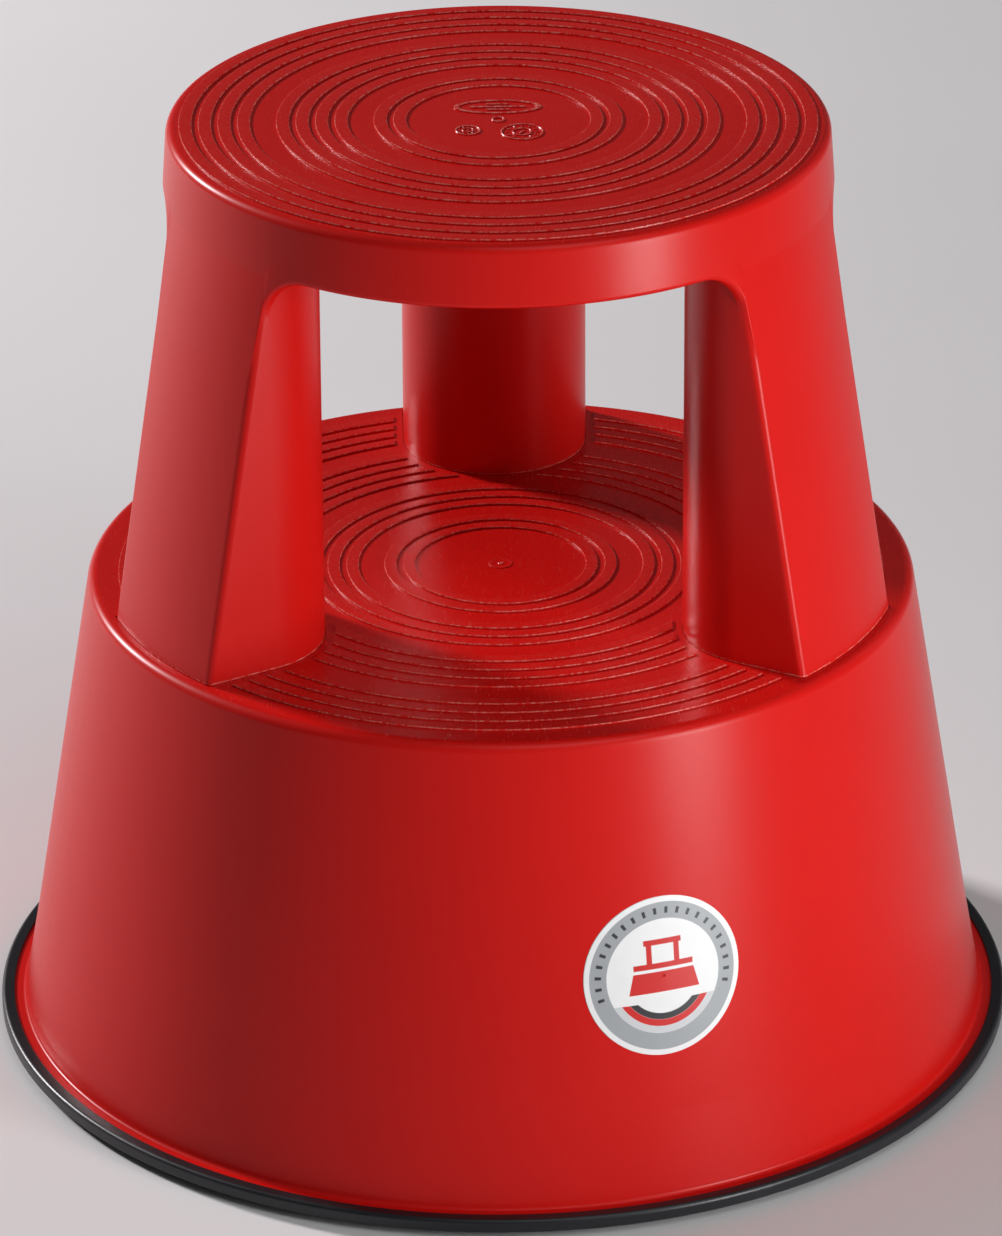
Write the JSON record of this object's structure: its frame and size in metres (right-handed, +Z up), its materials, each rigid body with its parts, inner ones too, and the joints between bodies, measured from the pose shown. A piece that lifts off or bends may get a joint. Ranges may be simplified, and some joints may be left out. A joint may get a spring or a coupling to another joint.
{
  "type": "kick step stool",
  "caption": "Round two-level step stool of ribbed plastic on a rubber floor ring, with sprung castors that sink away when stood on.",
  "frame": {"origin": "on the floor, under the stool's centre", "axes": "+Z up; -Y is the front, between two legs; the third leg is at +Y"},
  "size_m": [0.46, 0.4599, 0.43],
  "materials": {
    "red_plastic": "gloss",
    "ring_rubber": "matte",
    "badge_print": "gloss",
    "zinc_steel": "satin",
    "spring_steel": "satin",
    "nylon": "matte",
    "hub_plastic": "matte",
    "tyre_rubber": "matte"
  },
  "bodies": {
    "stool": {"upper_step": "red_plastic", "lower_shell": "red_plastic", "floor_ring": "ring_rubber", "badge": "badge_print", "leg_screws": "zinc_steel", "leg_screw_washers": "zinc_steel", "plate_screws": "zinc_steel", "castor_plate_1": "zinc_steel", "guide_bush_1": "nylon", "spring_1": "spring_steel", "castor_plate_2": "zinc_steel", "guide_bush_2": "nylon", "spring_2": "spring_steel", "castor_plate_3": "zinc_steel", "guide_bush_3": "nylon", "spring_3": "spring_steel"},
    "plunger_1": {"plunger_1": "zinc_steel", "retaining_clip_1": "spring_steel", "king_pin_1": "zinc_steel", "thrust_washer_1": "nylon"},
    "fork_1": {"fork_1": "zinc_steel", "axle_1": "zinc_steel"},
    "wheel_1": {"wheel_hub_1": "hub_plastic", "tyre_1": "tyre_rubber"},
    "plunger_2": {"plunger_2": "zinc_steel", "retaining_clip_2": "spring_steel", "king_pin_2": "zinc_steel", "thrust_washer_2": "nylon"},
    "fork_2": {"fork_2": "zinc_steel", "axle_2": "zinc_steel"},
    "wheel_2": {"wheel_hub_2": "hub_plastic", "tyre_2": "tyre_rubber"},
    "plunger_3": {"plunger_3": "zinc_steel", "retaining_clip_3": "spring_steel", "king_pin_3": "zinc_steel", "thrust_washer_3": "nylon"},
    "fork_3": {"fork_3": "zinc_steel", "axle_3": "zinc_steel"},
    "wheel_3": {"wheel_hub_3": "hub_plastic", "tyre_3": "tyre_rubber"}
  },
  "joints": [
    {"name": "plunge_1", "type": "slide", "parent": "stool", "child": "plunger_1", "axis": [0, 0, 1], "range_m": [0, 0.006], "stiffness_N_per_m": 6000, "springref_m": -0.0067, "deforming": ["spring_1"]},
    {"name": "swivel_1", "type": "hinge", "parent": "plunger_1", "child": "fork_1", "pos_m": [0.13164, 0.076, 0.045], "axis": [0, 0, 1], "continuous": true},
    {"name": "roll_1", "type": "hinge", "parent": "fork_1", "child": "wheel_1", "pos_m": [0.13999, 0.08596, 0.02], "axis": [-0.766, 0.6428, 0], "continuous": true},
    {"name": "plunge_2", "type": "slide", "parent": "stool", "child": "plunger_2", "axis": [0, 0, 1], "range_m": [0, 0.006], "stiffness_N_per_m": 6000, "springref_m": -0.0067, "deforming": ["spring_2"]},
    {"name": "swivel_2", "type": "hinge", "parent": "plunger_2", "child": "fork_2", "pos_m": [-0.13164, 0.076, 0.045], "axis": [0, 0, 1], "continuous": true},
    {"name": "roll_2", "type": "hinge", "parent": "fork_2", "child": "wheel_2", "pos_m": [-0.14444, 0.07826, 0.02], "axis": [-0.1736, -0.9848, 0], "continuous": true},
    {"name": "plunge_3", "type": "slide", "parent": "stool", "child": "plunger_3", "axis": [0, 0, 1], "range_m": [0, 0.006], "stiffness_N_per_m": 6000, "springref_m": -0.0067, "deforming": ["spring_3"]},
    {"name": "swivel_3", "type": "hinge", "parent": "plunger_3", "child": "fork_3", "pos_m": [0, -0.152, 0.045], "axis": [0, 0, 1], "continuous": true},
    {"name": "roll_3", "type": "hinge", "parent": "fork_3", "child": "wheel_3", "pos_m": [0.00445, -0.16422, 0.02], "axis": [0.9397, 0.342, 0], "continuous": true}
  ]
}
